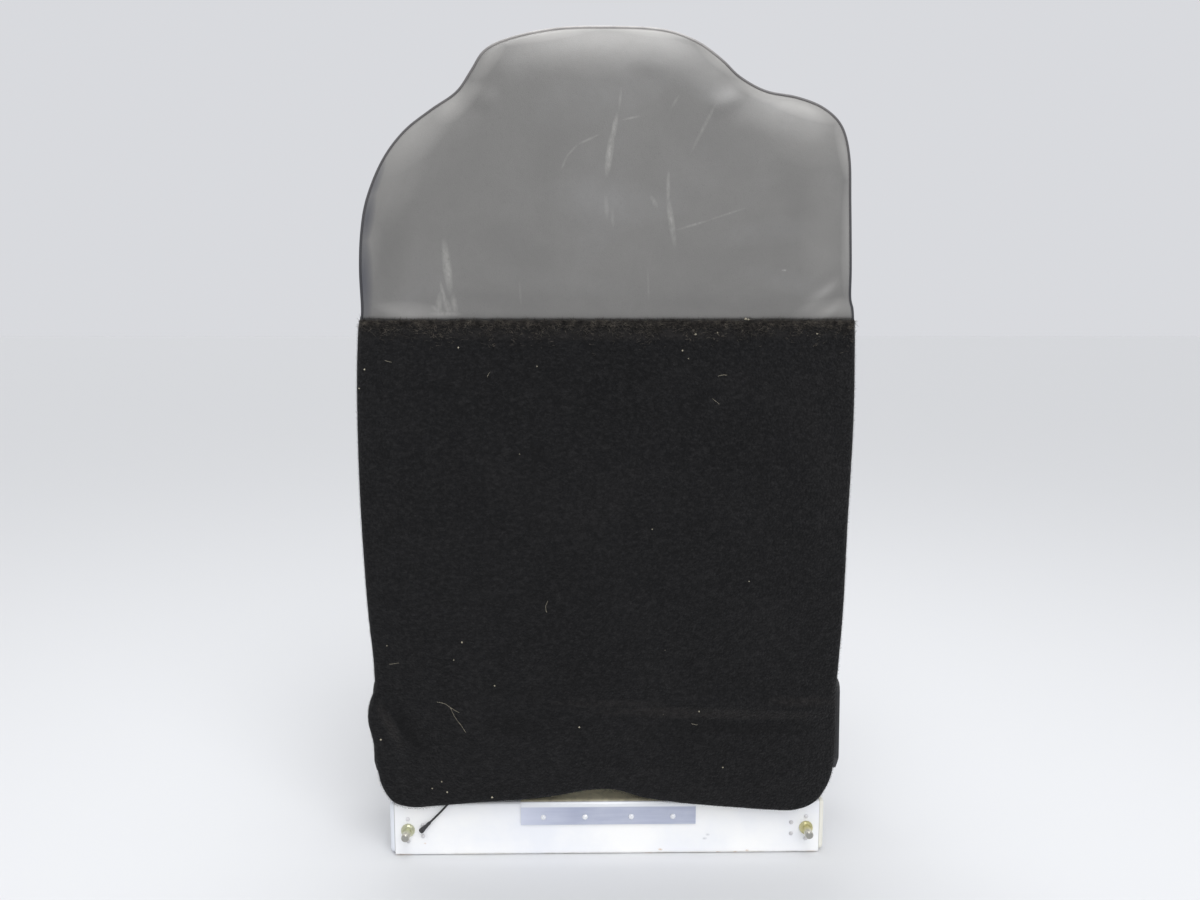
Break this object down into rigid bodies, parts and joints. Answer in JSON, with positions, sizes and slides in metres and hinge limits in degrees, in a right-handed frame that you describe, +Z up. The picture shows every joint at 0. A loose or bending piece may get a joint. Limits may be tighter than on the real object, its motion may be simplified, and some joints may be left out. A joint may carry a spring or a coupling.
{
  "type": "aircraft passenger seat",
  "caption": "Passenger seat with a fold-forward upholstered back, carpeted rear panel and flap, on a shallow riveted sheet metal base with rear locating pins and a front hold-down hook",
  "frame": {"origin": "middle of the seat's footprint box, on the surface that the base stands on", "axes": "+X to the right for someone behind the seat who looks forward, +Y forward, +Z up"},
  "size_m": [0.4552, 0.5191, 0.7645],
  "materials": {
    "white_paint": "white gloss paint",
    "aluminium": "mill finish",
    "steel": "zinc plated",
    "spring_steel": "drawn wire",
    "chromate": "chromate conversion coat, satin",
    "gold_plated": "yellow chromate plated, satin",
    "bronze": "machined",
    "leather": "smooth grey leather, semi-gloss",
    "carpet": "black cut pile",
    "black_plastic": "fine texture",
    "black_cord": "smooth",
    "red_plastic": "moulded",
    "plywood": "bare ply"
  },
  "bodies": {
    "base": {"rear_panel": "white_paint", "front_panel": "white_paint", "side_panel_left": "white_paint", "side_panel_right": "white_paint", "seat_pan": "white_paint", "pan_stiffener_1": "aluminium", "pan_stiffener_2": "aluminium", "pan_stiffener_3": "aluminium", "striker_angle": "chromate", "striker_rivet_1": "aluminium", "striker_rivet_2": "aluminium", "striker_rivet_3": "aluminium", "striker_rivet_4": "aluminium", "locating_pin_left": "gold_plated", "locating_pin_right": "gold_plated", "pin_nut_1": "steel", "pin_nut_2": "steel", "pin_doubler_left": "aluminium", "pin_doubler_right": "aluminium", "pivot_bracket_left": "steel", "pivot_bracket_right": "steel", "bracket_bolt_1": "steel", "bracket_bolt_2": "steel", "bracket_bolt_3": "steel", "bracket_bolt_4": "steel", "bracket_bolt_5": "steel", "bracket_bolt_6": "steel", "pivot_bolt_left": "steel", "pivot_bolt_right": "steel", "stop_pin_left": "steel", "stop_pin_right": "steel", "seat_board": "plywood", "seat_cushion": "leather", "hold_down_bracket": "steel", "hook_pin": "steel", "hook_spring": "spring_steel"},
    "back": {"pivot_bush_left": "bronze", "pivot_bush_right": "bronze", "arm_plate_left": "steel", "arm_plate_right": "steel", "hinge_cover_left": "black_plastic", "hinge_cover_right": "black_plastic", "rear_leather_cover": "leather", "rear_carpet_panel": "carpet", "carpet_flap": "carpet", "back_sheet": "aluminium", "back_cushion": "leather", "back_frame": "aluminium", "tail_tube": "aluminium", "latch_housing": "aluminium", "latch_cap": "steel", "latch_spring": "spring_steel", "cable_conduit": "black_plastic", "conduit_clip": "black_plastic", "pull_cord": "black_cord", "cord_pull": "black_cord"},
    "latch_bolt": {"latch_bolt": "steel"},
    "hold_down_hook": {"hold_down_hook": "steel", "lever_grip": "red_plastic"}
  },
  "joints": [
    {"name": "back_fold", "type": "hinge", "parent": "base", "child": "back", "pos_m": [0, -0.1455, 0.15], "axis": [-1, 0, 0], "range_deg": [0, 80]},
    {"name": "latch_slide", "type": "slide", "parent": "back", "child": "latch_bolt", "axis": [0, 0, 1], "range_m": [-0.007, 0.001], "stiffness_N_per_m": 500, "deforming": ["latch_spring"]},
    {"name": "hook_release", "type": "hinge", "parent": "base", "child": "hold_down_hook", "pos_m": [0, 0.1965, 0.028], "axis": [1, 0, 0], "range_deg": [0, 25], "stiffness_Nm_per_rad": 0.25, "springref_deg": -17.19}
  ]
}
